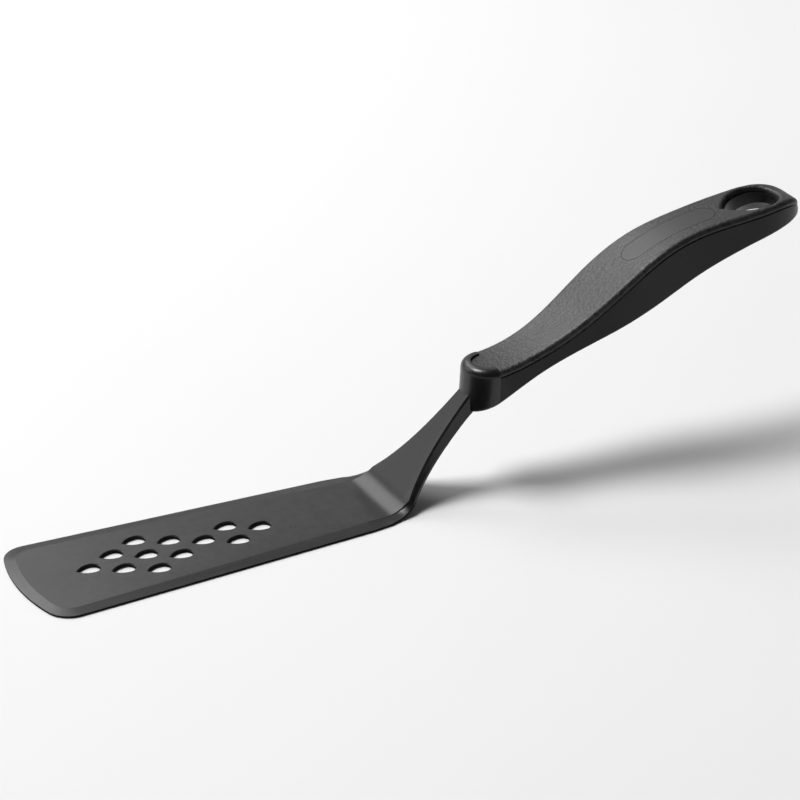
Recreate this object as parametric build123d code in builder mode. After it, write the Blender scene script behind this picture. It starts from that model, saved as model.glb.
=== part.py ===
from build123d import *
import os
from math import cos, exp, radians, sin

# A cranked turner in black plastic: a thin, slotted, bevelled blade on a swept-up neck that ends in
# a half-round collar, and a hollow handle made of a body, a textured grip cap and a small blank
# plate. Millimetres. +X runs from the blade's front edge to the end of the handle, +Y across the
# blade, and Z = 0 is the blade's flat underside. The finished pieces are moved along X so that
# X = 0 is halfway along the tool.

# Blade
tip_x = -143.9
bow_radius = 66.0
blade_thickness = 1.05
lip_thickness = 0.5
blade_root_x = -28.0
sole_front_half = 24.7
sole_root_half = 19.0
sole_corner = 8.5
plateau_front_x = -140.2
plateau_front_half = 20.7
plateau_root_half = 14.2
plateau_corner = 6.0

# Drain holes: teardrops on a diamond lattice, each pointing at the blade's front edge
drop_length = 7.7
drop_width = 5.1
drop_rim = 0.3
first_drop_x = -120.0
drop_pitch = 10.0
drop_rows = [[0], [-5, 5], [-10, 0, 10], [-5, 5], [0], [-5, 5], [0]]

# Bend and neck
bend_x = -20.9
bend_radius = 12.5
crank_angle = 45.0
shoulder_half = 13.6
neck_half = 2.1
flare_length = 13.0
bend_end_thickness = 2.7
neck_growth = 0.066
neck_belly = 0.25
neck_chamfer = 0.5
neck_sections = 48
neck_length = 57.0
swell_start = 37.2
swell_size = 0.5
swell_length = 1.6

# Collar and tang
seam_x = 23.8
collar_half = 9.2
collar_front_x = 14.0
collar_lean = 1.3
collar_bottom_z = 24.6
collar_top_z = 41.5
collar_round = 2.6
pocket_radius = 5.5
tang_half = 5.5
tang_end_x = 66.0
tang_flange = 3.0
tang_web_half = 1.25
lock_x = (34.0, 60.0)

# Handle, with its top and foot as seen from the side (x, z)
end_x = 142.3
tail_x = 122.0
tail_half = 11.0
top_curve = [
    (12.0, 41.2),
    (32.0, 42.5),
    (46.6, 48.3),
    (67.6, 62.2),
    (83.4, 71.3),
    (103.0, 76.5),
    (122.0, 78.7),
    (128.0, 79.3),
    (133.0, 79.3),
    (138.0, 78.1),
    (142.0, 75.1),
    (146.0, 70.8),
]
parting_tail = [(141.5, 73.7), (146.0, 72.4)]
foot_curve = [
    (12.0, 24.6),
    (24.2, 29.4),
    (37.4, 35.9),
    (58.6, 44.7),
    (81.6, 52.9),
    (105.0, 62.4),
    (127.9, 69.3),
    (137.0, 70.9),
    (146.0, 71.9),
]
edge_round = 1.7
foot_round = 1.0
lip_round = 0.3
wall = 2.0
cap_depth = 2.0
reveal = 0.3
seam_gap = 0.08
fit_gap = 0.15
pin_radius = 1.5
boss_radius = 3.0
skirt_wall = 1.0
skirt_depth = 1.5
skirt_x = (28.0, 106.0)

# Hanging eye
eye_tip_x = 112.8
eye_wide_x = 125.8
eye_end_x = 134.0
eye_half = 7.9
eye_round = 1.2
ledge = 0.6
dish_z = (68.4, 72.6)
dish_flare = 3.2
dish_tilt = 14.0
sleeve_wall = 2.2

# Blank plate
plate_front_x = 75.0
plate_back_x = 109.4
plate_half = 4.4
plate_depth = 0.9
plate_gap = 0.15

across = 30.0
above = 100.0


def blade_outline(front_x, corner, front_half, root_half):
    """Bowed front edge, rounded corners, and sides that taper in a straight line to the root."""
    bow = bow_radius - (bow_radius**2 - front_half**2) ** 0.5
    with BuildSketch() as outline:
        with BuildLine():
            front = ThreePointArc(
                (front_x + bow, -front_half), (front_x, 0), (front_x + bow, front_half)
            )
            Polyline(front @ 1, (blade_root_x, root_half), (blade_root_x, -root_half), front @ 0)
        make_face()
        fillet(outline.vertices().group_by(Axis.X)[0], corner)
    return outline.sketch


def drop_outline(grow=0.0):
    """One teardrop hole about its own middle, its point towards -X."""
    round_x = (drop_length - drop_width) / 2
    radius = drop_width / 2 + grow
    with BuildSketch() as outline:
        with BuildLine():
            side = Spline(
                (-drop_length / 2 - 1.5 * grow, 0), (round_x, radius), tangents=[(1, 1.1), (1, 0)]
            )
            RadiusArc(side @ 1, (round_x + radius, 0), radius)
            mirror(about=Plane.XZ)
        make_face()
    return outline.sketch


def neck_section(run):
    """Section across the bend or neck, at a distance along its top from where the bend starts.

    The top is flat and narrower than the sole, with a bevel between them that dies out through
    the bend, so that the neck ends up with upright sides. It swells where it runs into the collar.
    """
    crank = radians(crank_angle)
    turn = min(max(run / bend_radius, 0), crank)
    straight = max(run - bend_radius * crank, 0)
    x = bend_x + min(run, 0) + bend_radius * sin(turn) + straight * cos(turn)
    z = blade_thickness + bend_radius * (1 - cos(turn)) + straight * sin(turn)
    bent = turn / crank
    if bent < 1:
        root_run = blade_root_x - bend_x
        taper = (plateau_root_half - shoulder_half) * (1 - (run - root_run) / 17)
        top_half = shoulder_half + taper * (1 - bent)
        thickness = blade_thickness + (bend_end_thickness - blade_thickness) * bent**1.3
    else:
        top_half = neck_half + (shoulder_half - neck_half) * exp(-straight * cos(crank) / flare_length)
        thickness = bend_end_thickness + neck_growth * straight
    bevel = (sole_root_half - plateau_root_half) * (1 - bent) ** 0.7
    if run > blade_root_x - bend_x:
        bevel *= 1 - 0.14 * min((run - blade_root_x + bend_x) / 7.3, 1)
    sole_half = top_half + bevel + neck_belly * bent
    foot_half = sole_half - neck_belly * bent
    swell = swell_size * exp(min((straight - swell_start) / swell_length, 0.7))
    lip = lip_thickness * (1 + bent)
    chamfer = 0.06 + neck_chamfer * bent
    plane = Plane(origin=(x, 0, z), x_dir=(0, 1, 0), z_dir=(cos(turn), 0, sin(turn)))
    with BuildSketch(plane) as section:
        with BuildLine():
            Polyline(
                (chamfer - top_half, 0),
                (top_half - chamfer, 0),
                (top_half + swell / 4, -chamfer),
                (sole_half + swell, lip - thickness),
                (foot_half + swell, -thickness - swell),
                (-foot_half - swell, -thickness - swell),
                (-sole_half - swell, lip - thickness),
                (-top_half - swell / 4, -chamfer),
                close=True,
            )
        make_face()
    return section.sketch


def handle_plan(inset, front_x=seam_x + seam_gap):
    """The handle from above: parallel at the collar, full in the palm, waisted, round at the end."""
    with BuildSketch() as plan:
        with BuildLine():
            side = Spline(
                (front_x, collar_half - inset),
                (39.5, 9.4 - inset),
                (69.0, 12.2 - inset),
                (97.0, 10.4 - inset),
                (tail_x, tail_half - inset),
                tangents=[(1, 0), (1, 0)],
            )
            EllipticalCenterArc(
                (tail_x, 0), end_x - inset - tail_x, tail_half - inset, start_angle=0, arc_size=90
            )
            mirror(about=Plane.XZ)
            Line((front_x, collar_half - inset), (front_x, inset - collar_half))
        make_face()
    return plan.sketch


def eye_outline(inset):
    """The hanging eye from above: a pointed front, full sides and a round back."""
    half = eye_half - inset
    with BuildSketch() as outline:
        with BuildLine():
            side = Spline(
                (eye_tip_x + 1.4 * inset, 0),
                (eye_wide_x, half),
                tangents=[(0.8, 1), (1, 0)],
            )
            EllipticalCenterArc(
                (eye_wide_x, 0), eye_end_x - inset - eye_wide_x, half, start_angle=0, arc_size=90
            )
            mirror(about=Plane.XZ)
        make_face()
    return outline.sketch


def dish_outline(height, inset):
    """The eye's outline on a plane that lies along the handle's underside there."""
    tilt = radians(dish_tilt)
    along = (cos(tilt), 0, sin(tilt))
    upright = (-sin(tilt), 0, cos(tilt))
    with BuildSketch(Plane(origin=(eye_wide_x, 0, height), x_dir=along, z_dir=upright)) as outline:
        with Locations((-eye_wide_x, 0)):
            add(eye_outline(inset))
    return outline.sketch


def column(outline):
    """An outline drawn straight up through the whole height of the tool."""
    with BuildPart() as upright:
        with BuildSketch():
            add(outline)
        extrude(amount=above)
    return upright.part


def facing(block, way):
    """The face that looks most nearly up (way 1) or down (way -1)."""
    return block.faces().sort_by(lambda face: way * face.normal_at().Z)[-1]


def under(curve):
    """The space below a side-view curve, right across the tool."""
    with BuildPart() as space:
        with BuildSketch(Plane.XZ.offset(-across)):
            with BuildLine():
                top = Spline(curve)
                Polyline(top @ 0, ((top @ 0).X, 0), ((top @ 1).X, 0), top @ 1)
            make_face()
        extrude(amount=2 * across)
    return space.part


def slab(upper, lower):
    """The space between two side-view curves, right across the tool."""
    return under(upper) - under(lower)


def sunk(curve, depth):
    """A side-view curve moved square to itself, down into the handle."""
    line = Spline(curve)
    across_line = [line % line.param_at_point(point) for point in curve]
    return [(x + t.Y * depth, z - t.X * depth) for (x, z), t in zip(curve, across_line)]


def lifted(curve, rise):
    """A side-view curve moved straight up or down."""
    return [(x, z + rise) for x, z in curve]


parting_curve = sunk(top_curve[:-2], cap_depth) + parting_tail
sky_curve = lifted(top_curve, 30.0)


def handle_block(inset):
    """The handle's outside as one solid, its long edges rounded."""
    with BuildPart() as block:
        add(slab(top_curve, foot_curve))
        add(column(handle_plan(inset)), mode=Mode.INTERSECT)
        fillet(facing(block, 1).edges().sort_by(Axis.X)[1:], edge_round)
        fillet(facing(block, -1).edges().sort_by(Axis.X)[1:], foot_round)
    return block.part


def between(start_x, stop_x, half):
    """An upright block centred on the tool's middle plane."""
    with BuildPart() as block:
        with Locations(((start_x + stop_x) / 2, 0)):
            Box(stop_x - start_x, 2 * half, 2 * above)
    return block.part


def post(x, radius, upper, lower):
    """An upright round post between two side-view curves."""
    with BuildPart() as shaft:
        with Locations((x, 0)):
            Cylinder(radius, 2 * above)
        add(slab(upper, lower), mode=Mode.INTERSECT)
    return shaft.part


def plate_outline(grow):
    """A long outline with semicircular ends."""
    with BuildSketch() as outline:
        with Locations(((plate_front_x + plate_back_x) / 2, 0)):
            SlotOverall(plate_back_x - plate_front_x + 2 * grow, 2 * (plate_half + grow))
    return outline.sketch


# Turner head: blade, neck, collar and tang in one moulding
sole = blade_outline(tip_x, sole_corner, sole_front_half, sole_root_half)
plateau = blade_outline(plateau_front_x, plateau_corner, plateau_front_half, plateau_root_half)
tang_top = lifted(parting_curve, -fit_gap)

with BuildPart() as neck:
    root_run = blade_root_x - bend_x
    runs = [root_run + neck_length * step / neck_sections for step in range(neck_sections + 1)]
    loft([neck_section(run).face() for run in runs])

with BuildPart() as collar:
    for z, lean in ((collar_bottom_z - 1, 0), (collar_top_z, collar_lean)):
        with BuildSketch(Plane.XY.offset(z)):
            with BuildLine():
                EllipticalCenterArc(
                    (seam_x, 0), seam_x - collar_front_x - lean, collar_half, start_angle=90, arc_size=180
                )
                Line((seam_x, collar_half), (seam_x, -collar_half))
            make_face()
    loft()
    add(slab(sky_curve, foot_curve), mode=Mode.INTERSECT)
    rim = facing(collar, 1).edges().sort_by(Axis.X)[:-1]
    fillet(rim, collar_round)
    fillet(facing(collar, -1).edges().sort_by(Axis.X)[:-1], foot_round)

with BuildPart() as drop_cutter:
    with BuildSketch():
        add(drop_outline())
    extrude(amount=blade_thickness)
    with BuildSketch(Plane.XY.offset(blade_thickness - drop_rim)):
        add(drop_outline())
    with BuildSketch(Plane.XY.offset(blade_thickness)):
        add(drop_outline(drop_rim))
    loft()

with BuildPart() as turner_head:
    with BuildSketch():
        add(sole)
    extrude(amount=lip_thickness)
    with BuildSketch(Plane.XY.offset(lip_thickness)):
        add(sole)
    with BuildSketch(Plane.XY.offset(blade_thickness)):
        add(plateau)
    loft()
    add(neck.part)
    add(collar.part)
    drop_places = [
        (first_drop_x + number * drop_pitch, y) for number, row in enumerate(drop_rows) for y in row
    ]
    with Locations(drop_places):
        add(drop_cutter.part, mode=Mode.SUBTRACT)
    # The recess in the collar's top that takes the front end of the grip cap
    add(post(seam_x, pocket_radius, sky_curve, tang_top), mode=Mode.SUBTRACT)
    # The tang: a flat bar under the grip cap, with a web down its middle
    tang_end = between(seam_x - 1, tang_end_x, tang_half)
    web_end = between(seam_x - 1, lock_x[1] - boss_radius - 2 * fit_gap, tang_web_half)
    add(slab(tang_top, lifted(tang_top, -tang_flange)) & tang_end)
    add(slab(tang_top, lifted(foot_curve, wall + fit_gap)) & web_end)
    for x in lock_x:
        add(post(x, pin_radius + fit_gap, sky_curve, foot_curve), mode=Mode.SUBTRACT)

# Handle body: sides and underside in one moulding, open at the top, with the eye's sleeve
with BuildPart() as handle_body:
    add(handle_block(0))
    add(slab(sky_curve, lifted(parting_curve, -seam_gap)), mode=Mode.SUBTRACT)
    fillet(facing(handle_body, 1).edges().sort_by(Axis.X)[1:], lip_round)
    cavity = slab(sky_curve, lifted(foot_curve, wall)) & column(
        handle_plan(wall, seam_x + seam_gap + wall)
    )
    sleeve = column(eye_outline(ledge - sleeve_wall))
    add(cavity - sleeve, mode=Mode.SUBTRACT)
    add(slab(parting_curve, lifted(foot_curve, wall)) & sleeve & column(handle_plan(wall / 2)))
    add(column(eye_outline(ledge)), mode=Mode.SUBTRACT)
    dish = (dish_outline(dish_z[0], ledge - dish_flare), dish_outline(dish_z[1], ledge))
    loft([outline.face() for outline in dish], mode=Mode.SUBTRACT)
    # The mouth that the tang slides in through
    mouth = between(seam_x, seam_x + seam_gap + 2 * wall, tang_half + fit_gap)
    add(slab(sky_curve, lifted(foot_curve, wall)) & mouth, mode=Mode.SUBTRACT)
    # The boss under the tang that takes the grip cap's rear pin
    boss_top = lifted(tang_top, -tang_flange - fit_gap)
    add(post(lock_x[1], boss_radius, boss_top, lifted(foot_curve, wall / 2)))
    add(post(lock_x[1], pin_radius + fit_gap, sky_curve, lifted(foot_curve, wall)), mode=Mode.SUBTRACT)

# Grip cap: the textured top, its front end tucked into the collar, with pins and a locating skirt
with BuildPart() as grip_cap:
    add(handle_block(reveal))
    add(slab(sky_curve, parting_curve), mode=Mode.INTERSECT)
    add(column(eye_outline(0)), mode=Mode.SUBTRACT)
    fillet(facing(grip_cap, 1).inner_wires().edges(), eye_round)
    add(post(seam_x, pocket_radius - reveal, top_curve, parting_curve))
    add(slab(sky_curve, lifted(top_curve, -plate_depth)) & column(plate_outline(plate_gap)), mode=Mode.SUBTRACT)
    skirt_outside = column(handle_plan(wall + fit_gap))
    skirt_inside = column(handle_plan(wall + fit_gap + skirt_wall))
    skirt = (skirt_outside - skirt_inside) & between(*skirt_x, across)
    add(slab(lifted(parting_curve, 0.5), lifted(parting_curve, -skirt_depth)) & skirt)
    for x in lock_x:
        add(post(x, pin_radius, lifted(parting_curve, 0.5), lifted(foot_curve, wall + fit_gap)))

# Label plate: a blank plate let into the grip cap, flush with it
with BuildPart() as label_plate:
    add(slab(top_curve, lifted(top_curve, -plate_depth)) & column(plate_outline(0)))

pieces = {
    "turner_head": turner_head,
    "handle_body": handle_body,
    "grip_cap": grip_cap,
    "label_plate": label_plate,
}
to_middle = Location((-(tip_x + end_x) / 2, 0, 0))
os.makedirs("parts", exist_ok=True)
for name, piece in pieces.items():
    placed = piece.part.moved(to_middle)
    placed.label = name
    export_step(placed, f"parts/{name}.step")
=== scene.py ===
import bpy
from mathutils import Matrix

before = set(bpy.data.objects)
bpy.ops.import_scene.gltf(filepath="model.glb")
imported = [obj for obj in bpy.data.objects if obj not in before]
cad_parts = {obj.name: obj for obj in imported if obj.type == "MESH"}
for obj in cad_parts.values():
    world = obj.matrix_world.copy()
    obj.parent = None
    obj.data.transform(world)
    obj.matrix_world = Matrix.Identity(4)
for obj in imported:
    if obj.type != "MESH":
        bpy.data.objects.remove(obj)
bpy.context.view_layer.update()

from math import cos, radians, sin

import bpy
from mathutils import Vector

scene = bpy.context.scene


# Camera: the photograph's viewing angle, in metres
CAMERA_AT = Vector((-0.4835, -0.90035, 0.5514))
CAMERA_AIM = Vector((-0.0207, -0.02444, 0.04849))
LENS = 158.14

camera_data = bpy.data.cameras.new("camera")
camera_data.lens = LENS
camera_data.sensor_width = 36
camera_data.clip_start = 0.05
camera_data.clip_end = 20
camera = bpy.data.objects.new("camera", camera_data)
camera.location = CAMERA_AT
camera.rotation_euler = (CAMERA_AIM - CAMERA_AT).to_track_quat("-Z", "Y").to_euler()
scene.collection.objects.link(camera)
scene.camera = camera


# Node helpers
RANGE_SOCKETS = ("From Min", "From Max", "To Min", "To Max")
# The colour factor, first and second inputs of a Mix node, and its colour output
MIX_SOCKETS = (0, 6, 7)
MIX_RESULT = 2


class Shade:
    """A small builder for one procedural material."""

    def __init__(self, name):
        self.material = bpy.data.materials.new(name)
        self.material.use_nodes = True
        self.tree = self.material.node_tree
        self.bsdf = self.tree.nodes["Principled BSDF"]
        self.coords = self.node("ShaderNodeTexCoord").outputs["Object"]

    def node(self, kind, **settings):
        made = self.tree.nodes.new(kind)
        for key, value in settings.items():
            setattr(made, key, value)
        return made

    def link(self, source, target):
        self.tree.links.new(source, target)

    def put(self, made, **values):
        for key, value in values.items():
            socket = made.inputs[key.replace("_", " ")]
            if hasattr(value, "is_linked"):
                self.link(value, socket)
            else:
                socket.default_value = value

    def stretched(self, scale):
        mapping = self.node("ShaderNodeMapping")
        self.link(self.coords, mapping.inputs["Vector"])
        mapping.inputs["Scale"].default_value = scale
        return mapping.outputs["Vector"]

    def noise(self, scale, detail=2.0, rough=0.5, vector=None):
        made = self.node("ShaderNodeTexNoise")
        self.link(vector or self.coords, made.inputs["Vector"])
        self.put(made, Scale=scale, Detail=detail, Roughness=rough)
        return made.outputs["Fac"]

    def cells(self, scale):
        made = self.node("ShaderNodeTexVoronoi")
        self.link(self.coords, made.inputs["Vector"])
        made.inputs["Scale"].default_value = scale
        return made.outputs["Distance"]

    def span(self, value, low, high, to_low, to_high):
        made = self.node("ShaderNodeMapRange")
        self.link(value, made.inputs["Value"])
        for key, number in zip(RANGE_SOCKETS, (low, high, to_low, to_high)):
            made.inputs[key].default_value = number
        return made.outputs["Result"]

    def maths(self, operation, first, second):
        made = self.node("ShaderNodeMath", operation=operation)
        for socket, value in zip(made.inputs, (first, second)):
            if hasattr(value, "is_linked"):
                self.link(value, socket)
            else:
                socket.default_value = value
        return made.outputs["Value"]

    def mix(self, factor, first, second):
        made = self.node("ShaderNodeMix", data_type="RGBA")
        sockets = [made.inputs[number] for number in MIX_SOCKETS]
        for socket, value in zip(sockets, (factor, first, second)):
            if hasattr(value, "is_linked"):
                self.link(value, socket)
            else:
                socket.default_value = value
        return made.outputs[MIX_RESULT]

    def bump(self, height, strength, distance, under=None):
        made = self.node("ShaderNodeBump")
        self.link(height, made.inputs["Height"])
        made.inputs["Strength"].default_value = strength
        made.inputs["Distance"].default_value = distance
        if under:
            self.link(under, made.inputs["Normal"])
        return made.outputs["Normal"]

    def edges(self, low, high, to_high):
        """Near 0 on flat areas, up to to_high along convex edges: edge wear, and on the head partly a
        painted highlight.
        """
        pointiness = self.node("ShaderNodeNewGeometry").outputs["Pointiness"]
        return self.span(pointiness, low, high, 0.0, to_high)

    def finish(self, colour, roughness, normal, specular=0.5):
        self.link(colour, self.bsdf.inputs["Base Color"])
        self.link(roughness, self.bsdf.inputs["Roughness"])
        self.link(normal, self.bsdf.inputs["Normal"])
        self.bsdf.inputs["Specular IOR Level"].default_value = specular
        return self.material


def grey(value, warm=0.0):
    return (value * (1 + warm), value, value * (1 - warm), 1.0)


def head_nylon():
    """Satin moulded nylon: faint flow marks, fine scuffs along the blade, paler convex edges that are
    partly edge wear and partly a painted highlight for the bright front bevel.
    """
    s = Shade("head_nylon")
    flow = s.noise(26.0, 3.0, 0.55, s.stretched((1.0, 2.6, 1.0)))
    mottle = s.noise(420.0, 4.0, 0.6)
    scuffs = s.noise(700.0, 3.0, 0.7, s.stretched((0.35, 1.0, 1.0)))
    grain = s.noise(2600.0, 3.0, 0.65)
    base = s.mix(flow, grey(0.0036), grey(0.0052, -0.01))
    base = s.mix(s.span(mottle, 0.35, 0.75, 0.0, 0.35), base, grey(0.010))
    # Paler convex edges: partly edge wear, partly a painted highlight standing in for the front bevel's
    # bright reflection.
    wear_and_painted_highlight = s.maths("MULTIPLY", s.edges(0.505, 0.56, 0.8), s.span(mottle, 0.3, 0.6, 0.4, 1.0))
    base = s.mix(wear_and_painted_highlight, base, grey(0.03))
    rough = s.maths("ADD", s.span(flow, 0.3, 0.7, 0.275, 0.30), s.span(scuffs, 0.45, 0.75, 0.0, 0.02))
    rough = s.maths("ADD", rough, s.span(grain, 0.3, 0.7, -0.01, 0.02))
    normal = s.bump(flow, 0.05, 0.0002)
    normal = s.bump(scuffs, 0.05, 0.00002, normal)
    return s.finish(base, rough, s.bump(grain, 0.06, 0.00002, normal))


def body_plastic():
    """Smooth semi-gloss plastic: slight ripple, faint dust and hairline wipe marks."""
    s = Shade("body_plastic")
    ripple = s.noise(38.0, 2.0, 0.5)
    dust = s.noise(1500.0, 4.0, 0.65)
    wipes = s.noise(600.0, 3.0, 0.6, s.stretched((0.12, 1.0, 0.35)))
    base = s.mix(ripple, grey(0.0030), grey(0.0045))
    base = s.mix(s.span(dust, 0.55, 0.8, 0.0, 0.35), base, grey(0.008))
    base = s.mix(s.edges(0.52, 0.58, 0.6), base, grey(0.02))
    rough = s.maths("ADD", s.span(ripple, 0.3, 0.7, 0.27, 0.33), s.span(wipes, 0.45, 0.75, 0.0, 0.08))
    normal = s.bump(ripple, 0.2, 0.0003)
    return s.finish(base, rough, s.bump(dust, 0.10, 0.00003, normal), specular=0.26)


def cap_plastic():
    """Spark-eroded mould texture: crowded fine pits and grains, with painted shade in the pits and a
    painted highlight on the high spots.
    """
    s = Shade("cap_plastic")
    pits = s.cells(850.0)
    coarse = s.noise(520.0, 4.0, 0.7)
    fine = s.noise(3600.0, 3.0, 0.7)
    patches = s.noise(60.0, 3.0, 0.55)
    height = s.maths("ADD", s.maths("MULTIPLY", pits, 0.5), coarse)
    height = s.maths("ADD", height, s.maths("MULTIPLY", fine, 0.35))
    # Painted shade and highlight: colour follows the texture height, darker in the pits and paler on
    # the high spots.
    base = s.mix(s.span(height, 0.55, 1.15, 0.0, 1.0), grey(0.005), grey(0.026, 0.01))
    base = s.mix(s.span(patches, 0.35, 0.7, 0.0, 0.35), base, grey(0.020))
    base = s.mix(s.edges(0.53, 0.6, 0.4), base, grey(0.03))
    rough = s.maths("ADD", s.span(height, 0.5, 1.2, 0.38, 0.47), s.span(patches, 0.3, 0.7, -0.02, 0.03))
    return s.finish(base, rough, s.bump(height, 0.9, 0.00022), specular=0.6)


def plate_plastic():
    """The blank plate: a finer, smoother grain than the cap round it."""
    s = Shade("plate_plastic")
    grain = s.noise(2300.0, 4.0, 0.7)
    cloud = s.noise(70.0, 3.0, 0.5)
    base = s.mix(s.span(grain, 0.3, 0.7, 0.0, 1.0), grey(0.018), grey(0.028))
    base = s.mix(s.span(cloud, 0.3, 0.7, 0.0, 0.4), base, grey(0.025))
    rough = s.maths("ADD", s.span(grain, 0.3, 0.7, 0.46, 0.54), s.span(cloud, 0.3, 0.7, -0.02, 0.03))
    return s.finish(base, rough, s.bump(grain, 0.35, 0.00006), specular=0.65)


FINISHES = {
    "turner_head": head_nylon,
    "handle_body": body_plastic,
    "grip_cap": cap_plastic,
    "label_plate": plate_plastic,
}
for node, make in FINISHES.items():
    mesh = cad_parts[node].data
    mesh.materials.clear()
    mesh.materials.append(make())


# Floor and studio light
def floor_material():
    s = Shade("floor")
    cloud = s.noise(3.0, 3.0, 0.5)
    fleck = s.noise(400.0, 3.0, 0.6)
    base = s.mix(cloud, grey(0.86), grey(0.90))
    rough = s.span(fleck, 0.3, 0.7, 0.85, 0.95)
    return s.finish(base, rough, s.bump(fleck, 0.05, 0.0001), specular=0.1)


FLOOR_SIZE = 12
FLOOR_Z = -0.0003
bpy.ops.mesh.primitive_plane_add(size=FLOOR_SIZE, location=(0, 0, FLOOR_Z))
floor = bpy.context.object
floor.name = "floor"
floor.data.materials.append(floor_material())

# The room is bright behind the object and dark in front of it
ROOM_FADE = (0.0, 0.75, 0.03, 0.5)
world = bpy.data.worlds.new("studio")
world.use_nodes = True
room = world.node_tree
direction = room.nodes.new("ShaderNodeTexCoord")
parts = room.nodes.new("ShaderNodeSeparateXYZ")
room.links.new(direction.outputs["Generated"], parts.inputs["Vector"])
fade = room.nodes.new("ShaderNodeMapRange")
fade.interpolation_type = "SMOOTHSTEP"
for key, number in zip(RANGE_SOCKETS, ROOM_FADE):
    fade.inputs[key].default_value = number
room.links.new(parts.outputs["Y"], fade.inputs["Value"])
room.links.new(fade.outputs["Result"], room.nodes["Background"].inputs["Strength"])
room.nodes["Background"].inputs["Color"].default_value = (1.0, 1.0, 1.0, 1.0)
scene.world = world

TARGET = Vector((0.0, 0.0, 0.03))


def softbox(name, heading, elevation, distance, width, height, power):
    """A rectangular soft light; heading is from +Y towards +X, in degrees."""
    a, e = radians(heading), radians(elevation)
    away = Vector((sin(a) * cos(e), cos(a) * cos(e), sin(e)))
    data = bpy.data.lights.new(name, "AREA")
    data.shape = "RECTANGLE"
    data.size = width
    data.size_y = height
    data.energy = power
    light = bpy.data.objects.new(name, data)
    light.location = TARGET + away * distance
    light.rotation_euler = (-away).to_track_quat("-Z", "Y").to_euler()
    scene.collection.objects.link(light)


softbox("back_box", -2, 38, 1.6, 0.9, 0.45, 4.6)
softbox("left_box", -44, 24, 2.0, 0.9, 0.8, 3.6)
softbox("high_box", -42, 62, 2.2, 1.1, 0.8, 44)


# A black card on the floor beside the blade and neck. Only reflections see it: it keeps the collar's
# front and the blade's thin edges dark, as a studio flag does.
FLAG_LOW = (-0.17, -0.12)
FLAG_HIGH = (0.005, 0.02)
FLAG_Z = -0.0001
card = bpy.data.meshes.new("flag")
corners = [FLAG_LOW, (FLAG_HIGH[0], FLAG_LOW[1]), FLAG_HIGH, (FLAG_LOW[0], FLAG_HIGH[1])]
card.from_pydata([(x, y, FLAG_Z) for x, y in corners], [], [(0, 1, 2, 3)])
flag = bpy.data.objects.new("flag", card)
scene.collection.objects.link(flag)
flag_shade = Shade("flag")
flag_shade.bsdf.inputs["Base Color"].default_value = grey(0.0)
flag_shade.bsdf.inputs["Roughness"].default_value = 1.0
flag_shade.bsdf.inputs["Specular IOR Level"].default_value = 0.0
card.materials.append(flag_shade.material)
for ray in ("camera", "diffuse", "transmission", "volume_scatter", "shadow"):
    setattr(flag, "visible_" + ray, False)

scene.view_settings.view_transform = "Standard"
